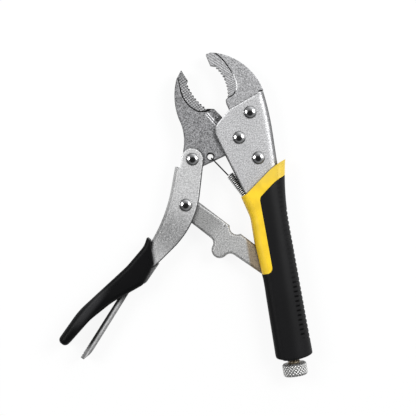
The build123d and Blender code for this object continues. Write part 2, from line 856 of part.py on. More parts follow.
release_lever_pin.part.label = "release_lever_pin"
export_step(release_lever_pin.part, "parts/release_lever_pin.step")
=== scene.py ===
# %% [markdown]
# # Locking pliers, dressed for the studio
# The pliers are already built to size: every jaw, rivet, channel and grip comes in as a fixed frame.
# This lesson gives each of them its finish, and makes the pieces whose fine form a plain solid can't
# show, such as the knurled screw and the wound spring. All lengths are metres.

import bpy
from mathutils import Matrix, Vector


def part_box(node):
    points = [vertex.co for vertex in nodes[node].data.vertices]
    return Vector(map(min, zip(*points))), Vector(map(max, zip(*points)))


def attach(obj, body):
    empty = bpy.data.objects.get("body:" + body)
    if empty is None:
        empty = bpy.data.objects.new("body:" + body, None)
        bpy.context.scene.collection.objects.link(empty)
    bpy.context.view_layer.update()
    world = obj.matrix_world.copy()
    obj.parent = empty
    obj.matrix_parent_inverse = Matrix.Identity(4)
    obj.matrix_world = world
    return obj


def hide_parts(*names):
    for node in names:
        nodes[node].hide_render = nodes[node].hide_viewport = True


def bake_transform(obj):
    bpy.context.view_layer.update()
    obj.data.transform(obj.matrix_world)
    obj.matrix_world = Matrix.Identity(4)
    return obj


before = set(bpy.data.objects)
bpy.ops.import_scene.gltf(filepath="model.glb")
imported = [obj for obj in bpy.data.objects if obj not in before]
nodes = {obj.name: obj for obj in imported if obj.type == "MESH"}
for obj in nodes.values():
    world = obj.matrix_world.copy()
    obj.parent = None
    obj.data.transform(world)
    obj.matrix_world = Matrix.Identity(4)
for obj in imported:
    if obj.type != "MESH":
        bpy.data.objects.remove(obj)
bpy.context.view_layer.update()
print("nodes:", ", ".join(sorted(nodes)))

# %% tools
from math import atan2, cos, degrees, floor, pi, radians, sin

import bmesh
import bpy
from mathutils import Vector
from mathutils.bvhtree import BVHTree
from mathutils.geometry import delaunay_2d_cdt, intersect_point_line

MM = 0.001
up = Vector((0, 0, 1))
scene = bpy.context.scene
scene.view_settings.view_transform = "Standard"


def mm(*lengths):
    """Lengths given in millimetres, as metres."""
    return tuple(length * MM for length in lengths)


def middle(node):
    """Centre of a node's box."""
    low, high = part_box(node)
    return (Vector(low) + Vector(high)) / 2


mid_z = middle("fixed_jaw").z
print(f"middle plane {mid_z / MM:.2f} mm above the floor")

# %% [markdown]
# ## A camera straight above
# The tool lies on a white table and is seen from above, turned so that its screw points down and a
# little to the right. The view is settled by the middle of the picture, measured on the tool, and by the
# width that it covers there. A long lens from most of a metre away keeps the sides upright.

# %% camera
view_centre = Vector((*mm(-45.6, 56.3), mid_z))
view_width = 314.5 * MM
view_distance = 830 * MM
view_turn = radians(-9.15)
picture_right = Vector((cos(view_turn), sin(view_turn), 0))
picture_up = Vector((-sin(view_turn), cos(view_turn), 0))

lens = bpy.data.cameras.new("overhead_camera")
lens.sensor_width = 36
lens.lens = lens.sensor_width * view_distance / view_width
camera = bpy.data.objects.new("overhead_camera", lens)
camera.location = view_centre + up * view_distance
camera.rotation_euler = (0, 0, view_turn)
scene.collection.objects.link(camera)
scene.camera = camera
print(f"lens of {lens.lens:.1f} mm")

# %% [markdown]
# ## Writing materials as sums
# A material is a tree of nodes. Wiring it by hand is slow to read, so a socket is wrapped in a small
# class: adding or multiplying two wrapped sockets adds the Math node that does it. Every other node
# comes from one method, which sets the node up first and then feeds its sockets.

# %% sockets that do arithmetic


class Value:
    """A socket in a node tree. Arithmetic on it adds Math nodes."""

    def __init__(self, tree, socket):
        self.tree = tree
        self.socket = socket

    def math(self, operation, first, second, clamp=False):
        """One Math node."""
        settings = {"operation": operation, "use_clamp": clamp}
        return self.tree.node("Math", settings, {0: first, 1: second})

    def __add__(self, other):
        return self.math("ADD", self, other)

    def __sub__(self, other):
        return self.math("SUBTRACT", self, other)

    def __rsub__(self, other):
        return self.math("SUBTRACT", other, self)

    def __mul__(self, other):
        return self.math("MULTIPLY", self, other)

    def __abs__(self):
        return self.math("ABSOLUTE", self, 0)

    __radd__ = __add__
    __rmul__ = __mul__

    def clamped(self):
        """Kept between 0 and 1."""
        return self.math("ADD", self, 0, clamp=True)

    def ramp(self, low, high):
        """Stretched smoothly, so that low becomes 0 and high becomes 1."""
        limits = {"Value": self, "From Min": low, "From Max": high}
        return self.tree.node("MapRange", {"interpolation_type": "SMOOTHSTEP"}, limits)

    def window(self, low, rise, fall, high):
        """1 between rise and fall, fading to 0 at low and at high."""
        return self.ramp(low, rise) * (1 - self.ramp(fall, high))


print("sockets do arithmetic")

# %% [markdown]
# ## A tree with words of its own
# Where is this point, which way does it face, is an edge near? Each question is a method, so a finish
# reads as a recipe. Places are the piece's own, so a finish stays with its piece when a joint moves.

# %% node trees


def grey(tone):
    """Grey colour of a tone."""
    return (tone, tone, tone, 1)


white = grey(1)


class Tree:
    """A node tree to which nodes are added by type, settings and inputs."""

    def __init__(self, tree):
        self.tree = tree
        tree.nodes.clear()

    def node(self, kind, settings=None, inputs=None, output=0):
        """Any node: its settings are set first, then its sockets are fed."""
        node = self.tree.nodes.new("ShaderNode" + kind)
        for name, setting in (settings or {}).items():
            setattr(node, name, setting)
        for name, item in (inputs or {}).items():
            if isinstance(item, Value):
                self.tree.links.new(item.socket, node.inputs[name])
            else:
                node.inputs[name].default_value = item
        return Value(self, node.outputs[output]) if node.outputs else None

    def vector(self, operation, first, second, output=0):
        """One Vector Math node."""
        return self.node("VectorMath", {"operation": operation}, {0: first, 1: second}, output)

    def dot(self, first, second):
        """How far one vector reaches along another."""
        return self.vector("DOT_PRODUCT", first, second, 1)

    def blend(self, share, first, second):
        """Colour mixed from one to another."""
        return self.node("Mix", {"data_type": "RGBA"}, {0: share, 6: first, 7: second}, 2)

    def times(self, first, second):
        """Product of two colours, or of a colour and a shade."""
        settings = {"data_type": "RGBA", "blend_type": "MULTIPLY"}
        return self.node("Mix", settings, {0: 1.0, 6: first, 7: second}, 2)

    def shaded(self, mask, tone, under=white):
        """White, or another colour, made grey where the mask is 1."""
        return self.blend(mask, under, grey(tone))

    def place(self):
        """Where a point lies on its own piece."""
        return self.node("TexCoord", output=3)

    def noise(self, grain, detail):
        """Noise whose blotches are about grain across."""
        return self.node("TexNoise", {}, {"Vector": self.place(), "Scale": 1 / grain, "Detail": detail})

    def along(self, start, way):
        """How far a point of the piece lies from a start along a direction."""
        return self.dot(self.vector("SUBTRACT", self.place(), start), way)

    def axes(self, start, way):
        """How far a point lies from a start, along a direction and to the right of it."""
        return self.along(start, way), self.along(start, (way[1], -way[0], 0))

    def x(self):
        """Place across the tool, larger towards its spine."""
        return self.along((0, 0, 0), (1, 0, 0))

    def y(self):
        """Place along the tool, larger towards its jaws."""
        return self.along((0, 0, 0), (0, 1, 0))

    def rise(self):
        """Height over or under the tool's middle plane."""
        return abs(self.along((0, 0, mid_z), (0, 0, 1)))

    def distance(self, centre, axes):
        """Distance from a centre, measured along the axes that are marked 1."""
        away = self.vector("SUBTRACT", self.place(), centre)
        flat = self.vector("MULTIPLY", away, axes)
        return self.node("VectorMath", {"operation": "LENGTH"}, {0: flat}, 1)

    def facing(self, way):
        """How much the surface faces a direction, from -1 to 1."""
        return self.dot(self.node("TexCoord", output=1), way)

    def flatness(self):
        """1 on faces that lie flat in the tool's own plane, 0 on upright sides."""
        return abs(self.facing((0, 0, 1))).ramp(0.25, 0.65)

    def bevel(self, radius, samples=8):
        """Normal that rounds edges off within a radius."""
        return self.node("Bevel", {"samples": samples}, {"Radius": radius})

    def edge_turn(self, rounded):
        """How far a rounded normal leaves the true one: 0 on open faces, more near an edge."""
        return 1 - self.dot(rounded, self.node("NewGeometry", output=3))

    def open_share(self, reach, inside=False):
        """Share of rays that meet nothing within a reach, outside or inside the piece."""
        return self.node("AmbientOcclusion", {"samples": 8, "inside": inside}, {"Distance": reach}, 1)

    def stored(self, name):
        """Share stored in the points of the mesh."""
        return self.node("Attribute", {"attribute_name": name}, {}, 2)

    def bump(self, height, depth, normal):
        """Normal with a fine relief on it."""
        return self.node("Bump", {}, {"Strength": 1, "Distance": depth, "Height": height, "Normal": normal})

    def finish(self, surface):
        """Ends a material."""
        self.node("OutputMaterial", {}, {"Surface": surface})


def new_tree(name):
    """A material and its empty tree."""
    material = bpy.data.materials.new(name)
    material.use_nodes = True
    return material, Tree(material.node_tree)


print("trees know place, facing and edges")

# %% [markdown]
# ## Steel, from satin sheet to polished rivet
# All the metal is plated steel, told apart by how it was worked. The channels are tumbled sheet, bright
# with a fine mottle. The jaws are forged and sand blasted, darker and coarser. Rivets are polished. One
# function makes them all from a colour, a roughness and a grain, and paints the same light on each:
# upright sides are darker, partly as painted shade and partly as dull sheared steel, corners get painted
# shade, and edges that face one way get a painted highlight while the others keep a painted dark line.
# A Bevel node, which feels for nearby edges, finds them.

# %% steel
speckle_size = 1.9
slow_grain = 7 * MM
slow_share = 0.12
corner_shade_reach = 1.4 * MM
# Ways whose facing edges get a painted highlight; edges facing away get a painted dark line.
far_way = tuple(0.3 * picture_right + 0.95 * picture_up)
left_way = tuple(0.7 * picture_up - 0.7 * picture_right)


def steel(name, colour, roughness, grain, depth, mottle, edge=1.2 * MM, edge_highlight=0.2, outlined=0.6, side=0.6,
          corner_shade=0.55, stains_and_light=(), fold=None, bright=far_way, line=(0.14, 0.27)):
    """Plated steel with a speckled grain, painted edge highlights and edge lines, and painted shade on sides
    and corners.
    """
    material, tree = new_tree(name)
    fine = tree.noise(grain, 3)
    speckle = tree.noise(speckle_size * grain, 1)
    slow = tree.noise(slow_grain, 3)
    rounded = tree.bevel(edge, 6)
    turn = tree.edge_turn(rounded)
    near = turn.ramp(0.01, 0.10)
    rim = turn.ramp(*line)
    lit = tree.dot(rounded, bright).ramp(-0.05, 0.30)
    # Painted highlight on edges that face the bright way, painted shadow line on the others.
    edges = 1 + edge_highlight * (0.4 * near + rim * lit) - outlined * rim * (1 - lit)
    if fold:
        rounded = fold(tree, rounded)
    # Upright sides darker: partly painted shade, partly dull sheared steel.
    sides = side + tree.flatness() * (1 - side)
    # Painted shade in corners, where nearby surfaces close in.
    corners = 1 - corner_shade * (1 - tree.open_share(corner_shade_reach).ramp(0.5, 0.95))
    mottled = 1 + (speckle - 0.5) * mottle + (slow - 0.5) * slow_share
    base = tree.times((*colour, 1), mottled * sides * corners * edges)
    # Each layer multiplies the colour: a few are stains, most are painted light or shade.
    for stain_or_light in stains_and_light:
        base = tree.times(base, stain_or_light(tree))
    gloss = (roughness + (slow - 0.5) * slow_share + (fine - 0.5) * slow_share).clamped()
    normal = tree.bump(fine, depth, rounded)
    surface = {"Base Color": base, "Metallic": 1.0, "Roughness": gloss, "Normal": normal}
    tree.finish(tree.node("BsdfPrincipled", {}, surface))
    return material


print("steel can be mixed")

# %% [markdown]
# ## Painted light on the link and the lever
# Some tones belong to a place. The link's end that meets the screw is painted brown with the reflection
# and shade of the yellow grip, its end near the moving handle gets painted shade, and a painted
# highlight runs along its upper edge. The lever gets painted shade on its inner half, is darker where it
# leaves its sleeve, and has a painted highlight along its crown. Instead of a picture, each mark is a
# colour that multiplies the steel, mixed in by distances on the piece.

# %% painted light on link and lever
link_root = mm(-46.3, 47.3, 0)
link_down = (0.63, -0.77, 0)
# Reach of the painted shade near the moving handle, and the painted brown reflection of the yellow grip.
handle_shadow_reach = 16 * MM
grip_reflection_limits = mm(-22.3, -19.9)
grip_reflection_brown = (0.68, 0.56, 0.41, 1)
link_corner = mm(-41.3, 50.7, 0)
link_edge = (0.725, -0.688, 0)
lever_root = mm(-113.5, 4.0, 0)
lever_down = (-0.658, -0.753, 0)


def link_reflection_and_shadow(tree):
    """Painted reflection and shade of the yellow grip on the screw's end of the link, painted shade near the
    handle.
    """
    grip_reflection = tree.x().ramp(*grip_reflection_limits)
    handle_shadow = 1 - tree.along(link_root, link_down).ramp(0, handle_shadow_reach)
    return tree.blend(grip_reflection, tree.shaded(handle_shadow, 0.72), grip_reflection_brown)


def link_edge_highlight(tree):
    """Painted highlight along the link's upper edge, ending in a painted bright burr and a painted dark nick.
    """
    run, inward = tree.axes(link_corner, link_edge)
    line = inward.window(*mm(0.55, 0.9, 1.2, 1.6)) * (1 - run.ramp(*mm(11.2, 12.0)))
    deep = inward.window(*mm(1.5, 2.1, 3.4, 4.2))
    burr = deep * run.window(*mm(9.2, 9.7, 10.2, 10.6))
    nick = deep * run.window(*mm(10.4, 10.7, 11.1, 11.5))
    # Painted highlight on the line and the burr, painted shade in the nick.
    return tree.shaded(nick, 0.25, tree.shaded((line + burr).clamped(), 1.6))


def lever_shadow(tree):
    """Painted shade on the inner half, darker where the lever leaves its sleeve, painted highlight on its
    crown.
    """
    run, inward = tree.axes(lever_root, lever_down)
    crown_highlight = inward.window(*mm(1.0, 1.8, 2.1, 2.8))
    # Painted shade on the lever's inner half.
    inner = inward.ramp(*mm(2.6, 3.3)) * (1 - 0.8 * run.ramp(*mm(48, 56)))
    sleeve_mouth_dark = run.window(*mm(-10, -4, 8, 15))
    return tree.shaded((inner + 0.65 * sleeve_mouth_dark).clamped(), 0.08, tree.shaded(crown_highlight, 1.9))


print("stains for the link and the lever")

# %% [markdown]
# ## Painted light on the folded sheet
# Frame and moving handle are bent from sheet. Their cut edges get a painted highlight or a painted
# shadow line, the folded backs get painted shade, and the handle is darker towards its sleeve. A Bevel
# node feels little in thin sheet, so cut edges are found from inside it, where short rays soon meet a wall.

# %% painted light on the sheet
sheet_feel = 1.6 * MM
link_pivot = mm(-61.8, 61.1, 0)
handle_down = (-0.6, -0.8, 0)
handle_back = (-0.85, 0.53, 0)
handle_bow = mm(-143.3, 101.2, 0)
spine_round = 4.5 * MM


def cut_edge(tree):
    """How near a cut edge of the sheet lies."""
    return 1 - tree.open_share(sheet_feel, inside=True)


def darker_towards_sleeve(tree):
    """Blotchy darkening of the moving handle towards its sleeve."""
    down = tree.along(link_pivot, handle_down)
    mask = down.ramp(*mm(-6, 24)) * (1 - 0.85 * down.ramp(*mm(27, 46)))
    blotches = 0.8 + 2.4 * (tree.noise(0.9 * MM, 1) - 0.5)
    return tree.shaded((mask * blotches).clamped(), 0.50)


def fold_shade(tree):
    """Painted shade on the rounding of the moving handle's folded back."""
    return tree.shaded(tree.facing(handle_back).window(0.02, 0.12, 0.5, 0.8), 0.70)


def handle_edge(tree):
    """Painted shadow line along the handle's open side, with a painted highlight inside it."""
    open_side = tree.distance(handle_bow, (1, 1, 0)).ramp(*mm(91, 93))
    shut = cut_edge(tree)
    line = shut.ramp(0.03, 0.10) * open_side
    dark = shut.ramp(0.16, 0.28) * open_side
    return tree.shaded(dark, 0.3, tree.shaded(line, 1.3))


def frame_edge(tree):
    """Cut edge of the frame's plate with a painted highlight above and a painted shadow line below."""
    upper = tree.y().ramp(*mm(112, 119))
    tone = tree.blend(upper, grey(0.35), grey(1.5))
    return tree.blend(cut_edge(tree).ramp(0.10, 0.26), white, tone)


def spine_strip(tree):
    """1 on the strip along the back of the frame, 0 on the rest of it."""
    return tree.x().ramp(*mm(2.5, 5.0))


def spine_side(tree):
    """Shaded outer flank of the folded spine."""
    return tree.shaded(tree.facing((1, 0, 0)).ramp(0.36, 0.60) * spine_strip(tree), 0.46)


def spine_fold(tree, rounded):
    """Wide rounding along the spine, where the sheet is folded over."""
    mixed = {0: spine_strip(tree), 4: rounded, 5: tree.bevel(spine_round)}
    return tree.node("Mix", {"data_type": "VECTOR"}, mixed, 1)


print("stains for frame and moving handle")

# %% [markdown]
# ## Painted light on the jaws
# Beside its teeth each forged jaw has a sunk band. Its slanted wall gets a painted highlight on the fixed
# jaw and a painted black shadow on the moving one, and the sunk faces get painted shade. The masks come
# from the shape, so that they follow the band's curve: a depth under the jaw's face, or a slope between
# flat and upright.

# %% painted light on the jaws
jaw_half = (Vector(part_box("fixed_jaw")[1]) - Vector(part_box("fixed_jaw")[0])).z / 2
band_sink = 0.75 * MM
wall_round = 1.0 * MM
shade_margin = 3.5 * MM
hollow_place = mm(-34.3, 129.0, 0)
hollow_across = tuple(picture_right / (2.6 * MM))
hollow_up = tuple((picture_up - 0.35 * picture_right) / (1.3 * MM))
cutter_foot = mm(-32.3, 121.8, 0)
cutter_way = (0.841, 0.541, 0)


def hollow_shade(tree):
    """Painted shade in the sunk faces of a jaw, deeper hollows being darker."""
    depth = (jaw_half - tree.rise()) * (1 / band_sink)
    return tree.shaded((depth * tree.flatness()).clamped() * 0.85, 0.12)


def wall_slope(tree):
    """1 on slanted walls, 0 on flat faces and upright sides."""
    return abs(tree.facing((0, 0, 1))).window(0.4, 0.6, 0.8, 0.95)


def band_wall_light(tree):
    """Wall of the fixed jaw's band with a painted highlight in its middle and painted shade at both ends."""
    wall = wall_slope(tree)
    beside = (tree.edge_turn(tree.bevel(wall_round)).ramp(0.01, 0.06) + wall).clamped()
    across = tree.x()
    height = tree.y()
    wall_highlight = beside * across.window(*mm(-17, -15, -7, -5))
    wall_highlight = wall_highlight * height.window(*mm(139, 142, 150, 155))
    # Painted shade at the heel and at the high end of the wall.
    heel = beside * (1 - height.ramp(*mm(138.5, 141))) * (1 - across.ramp(*mm(-12, -10)))
    dark = (heel + wall * height.ramp(*mm(152, 157))).clamped()
    return tree.shaded(dark, 0.15, tree.shaded(wall_highlight, 5.0))


def wall_shadow(tree):
    """Painted black shadow in the groove along the moving jaw's band and in a hollow where it meets the
    cutter.
    """
    groove_shade = wall_slope(tree) * (1 - tree.y().ramp(*mm(146, 152)))
    across = tree.along(hollow_place, hollow_across)
    rise = tree.along(hollow_place, hollow_up)
    hollow = 1 - (across * across + rise * rise).ramp(0.5, 1.3)
    return tree.shaded((groove_shade + hollow).clamped(), 0.07)


def cutter_line(tree):
    """Step behind the cutter's nose, painted as a dark line with a highlight on its lip, and the nose's rough
    grain.
    """
    side, run = tree.axes(cutter_foot, cutter_way)
    near = (1 - abs(run).ramp(*mm(5.0, 5.8))) * tree.flatness()
    # Painted highlight on the step's lip and painted shade in the step.
    lip_highlight = tree.shaded((1 - abs(side).ramp(*mm(0.9, 1.4))) * near, 3.0)
    line = tree.shaded((1 - abs(side).ramp(*mm(0.2, 0.55))) * near, 0.25, lip_highlight)
    nose = side.ramp(*mm(1.5, 2.2)) * (1 - abs(run).ramp(*mm(8, 10)))
    rough = nose * tree.noise(1.1 * MM, 1).ramp(0.44, 0.56)
    return tree.times(line, tree.shaded(rough, 0.35))


def edge_margin_shade(tree):
    """Painted shade in a wide margin along the edges of the moving jaw."""
    return tree.shaded(tree.edge_turn(tree.bevel(shade_margin)).ramp(0.0, 0.2), 0.6)


def hatch_valley_shade(tone):
    """Painted shade that darkens the valleys of a hatched band to a tone."""
    floor_rise = jaw_half - band_sink

    def stain_or_light(tree):
        ridge = tree.rise().ramp(floor_rise + 0.05 * MM, floor_rise + 0.22 * MM)
        return tree.blend(ridge, grey(tone), white)

    return stain_or_light


def tooth_tip_shade(tree):
    """Painted shade on the tips of the teeth, and a darker end of the jaw."""
    end = tree.y().ramp(*mm(147, 157))
    return tree.shaded(tree.stored("tip"), 0.03, tree.shaded(end, 0.75))


print(f"stains for jaws {2 * jaw_half / MM:.1f} mm thick")

# %% [markdown]
# ## Painted light on the round pieces
# Rivet domes get painted shade on their steep rims, the knurl a painted highlight on its ridges over
# darker valleys, and the spring painted shade on all but the crown of each turn. That shade is not tied
# to a fixed place: it reads a share stored in the spring's own points.

# %% painted light on the round pieces
knurl_limits = mm(0.42, 0.1)
shank_limits = mm(9.0, 9.5)
thread_bronze = (0.62, 0.54, 0.42, 1)


def dome_rim_shade(tree):
    """Painted shade on the steep rim of a dome."""
    return tree.blend(abs(tree.facing((0, 0, 1))).ramp(0.60, 0.93), grey(0.12), white)


def knurl_light_and_bronze(tree):
    """Painted highlight on the knurl's ridges over darker valleys, a plain end face, and a bronze tint on the
    thread.
    """
    low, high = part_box("adjusting_screw")
    outer = (high[0] - low[0]) / 2
    radius = tree.distance(tuple(middle("adjusting_screw")), (1, 0, 1))
    ridge = radius.ramp(*[outer - depth for depth in knurl_limits])
    # Painted highlight on the ridges; the valleys are darker.
    head = tree.blend(ridge, grey(0.36), grey(1.3))
    head = tree.blend(tree.facing((0, -1, 0)).ramp(0.5, 0.8), head, white)
    shank = tree.y().ramp(*[low[1] + run for run in shank_limits])
    thread = shank * (1 - radius.ramp(*mm(5.2, 6.2)))
    return tree.blend(thread, head, thread_bronze)


def coil_shadow(tree):
    """Painted shade on the wire except on the crown of each turn, and on the whole leg and tail."""
    return tree.blend(tree.stored("crown"), grey(0.035), white)


print("stains for rivets, screw and spring")

# %% steel finishes
fine_work = {"edge": 0.1 * MM, "outlined": 0, "corner_shade": 0}
finishes = {
    "sheet_steel": steel(
        "satin_sheet_steel", (0.50, 0.50, 0.505), 0.55, 0.42 * MM, 0.006 * MM, 1.8,
        edge=1.6 * MM, edge_highlight=0.9, side=0.4, stains_and_light=[spine_side, frame_edge], fold=spine_fold),
    "jaw_steel": steel(
        "blasted_jaw_steel", (0.37, 0.37, 0.375), 0.60, 0.40 * MM, 0.02 * MM, 2.4,
        stains_and_light=[hollow_shade, band_wall_light]),
    "link_steel": steel(
        "blasted_link_steel", (0.46, 0.46, 0.455), 0.58, 0.42 * MM, 0.015 * MM, 2.0,
        edge=1.3 * MM, stains_and_light=[link_reflection_and_shadow, link_edge_highlight]),
    "bright_steel": steel(
        "polished_steel", (0.52, 0.52, 0.52), 0.10, 0.3 * MM, 0.001 * MM, 0.2,
        edge=0.2 * MM, outlined=0, side=1, corner_shade=0.3, stains_and_light=[dome_rim_shade]),
    "spring_steel": steel(
        "drawn_spring_wire", (0.85, 0.85, 0.845), 0.42, 0.2 * MM, 0.003 * MM, 0.4,
        side=1, stains_and_light=[coil_shadow], **fine_work),
}
node_finish = {
    "moving_jaw": steel(
        "dark_jaw_steel", (0.265, 0.265, 0.27), 0.60, 0.42 * MM, 0.02 * MM, 3.0,
        stains_and_light=[hollow_shade, wall_shadow, cutter_line, edge_margin_shade]),
    "moving_handle": steel(
        "handle_sheet_steel", (0.56, 0.56, 0.56), 0.56, 0.42 * MM, 0.008 * MM, 1.3,
        edge=2.2 * MM, edge_highlight=0.5, outlined=0.9, side=0.85, bright=left_way, line=(0.03, 0.10),
        stains_and_light=[darker_towards_sleeve, fold_shade, handle_edge]),
    "release_lever": steel(
        "lever_sheet_steel", (0.44, 0.44, 0.44), 0.42, 0.4 * MM, 0.006 * MM, 1.6,
        edge=0.6 * MM, outlined=0.2, stains_and_light=[lever_shadow]),
}
hatched = {
    "fixed_jaw": steel(
        "fixed_hatch_steel", (0.44, 0.44, 0.445), 0.60, 0.4 * MM, 0.01 * MM, 1.6,
        stains_and_light=[hatch_valley_shade(0.62)], **fine_work),
    "moving_jaw": steel(
        "moving_hatch_steel", (0.41, 0.41, 0.415), 0.60, 0.4 * MM, 0.01 * MM, 1.6,
        stains_and_light=[hatch_valley_shade(0.12), tooth_tip_shade], **fine_work),
}
screw_steel = steel(
    "knurled_screw_steel", (0.52, 0.52, 0.51), 0.42, 0.3 * MM, 0.002 * MM, 0.6,
    side=1, stains_and_light=[knurl_light_and_bronze], **fine_work)
print("steel finishes:", ", ".join([*finishes, *node_finish]))

# %% [markdown]
# ## Plastic and rubber
# The fixed handle wears a hard yellow sleeve with a soft black cover moulded over it, and the moving
# handle a black dipped sleeve. All share one function: a coloured body with a fine pebbled skin and
# patches worn by handling. The real black faces are crowned a little, and leaning the normal over gives
# their slow change of sheen without a change of shape. On top, some get painted light: shade in the
# cover's grooves and on its inner side, a sheen along the dipped sleeve, and shade and sheen on the
# yellow.

# %% moulded finishes
moulded_edge = 0.4 * MM
patch_grain = 14 * MM
patch_tone = 0.82
patch_gloss = 0.1
# Grey of the painted sheen on a black grip.
sheen_grey = (0.026, 0.026, 0.027, 1)


def moulded(name, colour, roughness, specular, grain, depth, crown=None, painted_grooves=None, sheen=None, tint=None):
    """Plastic or rubber with a pebbled skin and, if asked for, a crown, painted groove shade, painted sheen
    or a painted tint.
    """
    material, tree = new_tree(name)
    pebble = tree.noise(grain, 2)
    slow = tree.noise(patch_grain, 3)
    rounded = crown(tree) if crown else tree.bevel(moulded_edge, 6)
    patch = tuple(patch_tone * part for part in colour)
    base = tree.blend(slow.ramp(0.35, 0.7), (*colour, 1), (*patch, 1))
    if sheen:
        # Painted sheen mixed into the colour.
        base = tree.blend(sheen(tree), base, sheen_grey)
    if tint:
        base = tree.times(base, tint(tree))
    gloss = (roughness + (slow - 0.5) * patch_gloss + (pebble - 0.5) * patch_gloss).clamped()
    normal = tree.bump(pebble, depth, rounded)
    skin = {"Base Color": base, "Roughness": gloss, "Normal": normal, "Specular IOR Level": specular}
    surface = tree.node("BsdfPrincipled", {}, skin)
    # Painted shade: a dull black shader is mixed in by the groove mask.
    if painted_grooves:
        black = {"Base Color": grey(0.003), "Roughness": 0.9, "Specular IOR Level": 0.0}
        groove_shade = tree.node("BsdfPrincipled", {}, black)
        surface = tree.node("MixShader", {}, {0: painted_grooves(tree), 1: surface, 2: groove_shade})
    tree.finish(surface)
    return material


def leaned(tree, way, amount):
    """The surface's own normal, leaned along a direction on flat faces."""
    lean = tree.node("VectorMath", {"operation": "SCALE"}, {0: way, "Scale": amount * tree.flatness()})
    whole = tree.vector("ADD", tree.node("NewGeometry", output=1), lean)
    return tree.node("VectorMath", {"operation": "NORMALIZE"}, {0: whole})


print("plastic and rubber can be moulded")

# %% grips
rib_first = -51.4 * MM
rib_pitch = 3.57 * MM
sleeve_end = mm(-149.0, -8.0, 0)
sleeve_across = (-0.68, 0.73, 0)
sleeve_down = (-0.73, -0.68, 0)
sleeve_half = 7 * MM
sheen_place = mm(-139.5, 0.5, 0)
sheen_down = (-0.744, -0.668, 0)
# Tints of the painted sheen on the yellow's upper end and of the painted shade on its inner flank.
upper_sheen_yellow = (0.80, 0.85, 2.4, 1)
flank_shade_ochre = (0.88, 0.82, 0.7, 1)


def cover_crown(tree):
    """Face of the cover that falls away a little towards its ribbed back."""
    return leaned(tree, (1, 0, 0), tree.x().ramp(*mm(-2, 14)) * 0.75)


def rib_groove_shade(tree):
    """Painted shade in the inner ends of the grooves between the ribs, and on the cover's inner side."""
    run = tree.along((0, rib_first, 0), (0, 1 / rib_pitch, 0))
    share = tree.node("Math", {"operation": "FRACT"}, {0: run + 0.5})
    groove_shade = 1 - abs(share - 0.5).ramp(0.12, 0.26)
    ends = tree.x().window(*mm(7.0, 8.4, 9.8, 11.8))
    dashes = groove_shade * ends * run.ramp(0.4, 0.6) * (0.9 - 0.7 * run.ramp(11, 15))
    return (dashes + 0.5 * tree.facing((-1, 0, 0)).ramp(0.5, 0.95)).clamped()


def sleeve_crown(tree):
    """Face of the dipped sleeve, rounded across its lower half."""
    run, across = tree.axes(sleeve_end, sleeve_down)
    return leaned(tree, sleeve_across, across * run.ramp(-26 * MM, 0) * (0.9 / sleeve_half))


def sleeve_sheen(tree):
    """Painted sheen: a paler band along the lower half of the dipped sleeve."""
    run, across = tree.axes(sheen_place, sheen_down)
    return (1 - abs(across).ramp(*mm(0.5, 4.5))) * run.window(*mm(-18, 0, 14, 30))


def yellow_shade_and_sheen(tree):
    """Painted ochre shade on the inner flank of the yellow sleeve, and a painted dull sheen across its upper
    end.
    """
    flank = tree.facing((-1, 0, 0)).ramp(0.72, 0.98)
    upper = tree.y().ramp(*mm(62, 74)) * (1.3 - 0.9 * tree.noise(5 * MM, 2))
    return tree.blend(flank, tree.blend(upper.clamped(), white, upper_sheen_yellow), flank_shade_ochre)


finishes["yellow_plastic"] = moulded(
    "yellow_sleeve", (0.90, 0.60, 0.024), 0.42, 0.35, 0.5 * MM, 0.01 * MM, tint=yellow_shade_and_sheen)
finishes["black_rubber"] = moulded(
    "black_cover", (0.0065, 0.0065, 0.007), 0.48, 0.13, 0.4 * MM, 0.015 * MM,
    crown=cover_crown, painted_grooves=rib_groove_shade)
finishes["black_vinyl"] = moulded(
    "black_dipped_sleeve", (0.0030, 0.0030, 0.0034), 0.46, 0.09, 0.6 * MM, 0.012 * MM,
    crown=sleeve_crown, sheen=sleeve_sheen)
print("grips have their finish")

# %% give every solid its finish
slot_of = {
    "fixed_handle": "sheet_steel",
    "moving_handle": "sheet_steel",
    "release_lever": "sheet_steel",
    "fixed_jaw": "jaw_steel",
    "moving_jaw": "jaw_steel",
    "toggle_link": "link_steel",
    "release_lever_pin": "bright_steel",
    "fixed_grip_core": "yellow_plastic",
}
for name, slot in slot_of.items():
    for place in nodes[name].material_slots:
        place.material = node_finish.get(name, finishes[slot])
print(len(slot_of), "solids have their finish")

# %% [markdown]
# ## Making round pieces
# Rivets, screw and wire are all swept rings: a ring of points is repeated along a line, and each ring
# is joined to the one before. A modifier could turn a profile too, but a knurl or a wound wire needs
# rings that change, so one function joins any rings into a closed skin.

# %% skins made of rings


def new_piece(name, points, faces, slot, body, replaced, finish=None, crease=None):
    """Mesh object with its finish, the body it moves with and the solid it stands for."""
    mesh = bpy.data.meshes.new(name)
    mesh.from_pydata(points, [], faces)
    mesh.validate()
    skin = bmesh.new()
    skin.from_mesh(mesh)
    bmesh.ops.recalc_face_normals(skin, faces=skin.faces)
    skin.to_mesh(mesh)
    skin.free()
    mesh.shade_smooth()
    if crease:
        mesh.set_sharp_from_angle(angle=radians(crease))
    piece = bpy.data.objects.new(name, mesh)
    scene.collection.objects.link(piece)
    mesh.materials.append(finish or finishes[slot])
    if body:
        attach(piece, body)
    if replaced:
        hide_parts(replaced)
    return piece


def ring_skin(rings):
    """Points and faces of a closed skin over rings, with flat ends."""
    count = len(rings[0])
    points = [point for ring in rings for point in ring]
    faces = [tuple(range(count)), tuple(range(len(points) - count, len(points)))]
    for row in range(len(rings) - 1):
        for step in range(count):
            low = row * count + step
            next_low = row * count + (step + 1) % count
            faces.append((low, next_low, next_low + count, low + count))
    return points, faces


print("ring tools ready")

